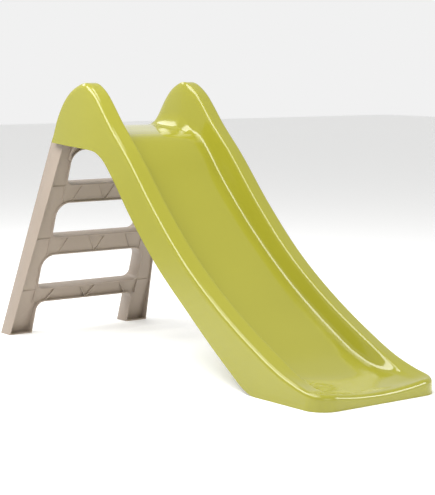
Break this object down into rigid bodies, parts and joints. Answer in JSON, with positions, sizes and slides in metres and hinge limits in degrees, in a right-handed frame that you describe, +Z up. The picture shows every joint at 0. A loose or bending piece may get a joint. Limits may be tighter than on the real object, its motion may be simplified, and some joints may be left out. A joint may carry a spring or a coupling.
{
  "type": "toddler slide",
  "caption": "Free-standing toddler slide: wave-shaped moulded chute with rounded side humps, and a moulded tread ladder that folds under it.",
  "frame": {"origin": "middle of the slide's length and width, on the floor", "axes": "+X from the ladder towards the exit, +Y to the left of a child sliding down, +Z up"},
  "size_m": [1.417, 0.5038, 0.7639],
  "materials": {
    "lime_plastic": "glossy moulded polypropylene",
    "taupe_plastic": "satin moulded polypropylene",
    "plated_steel": "zinc-plated"
  },
  "bodies": {
    "chute": {"slide_shell": "lime_plastic", "pivot_pins": "plated_steel", "pivot_washers": "plated_steel", "pivot_clips": "plated_steel"},
    "ladder": {"ladder_frame": "taupe_plastic"}
  },
  "joints": [
    {"name": "ladder_fold", "type": "hinge", "parent": "chute", "child": "ladder", "pos_m": [-0.4255, 0, 0.612], "axis": [0, -1, 0], "range_deg": [0, 72]}
  ]
}
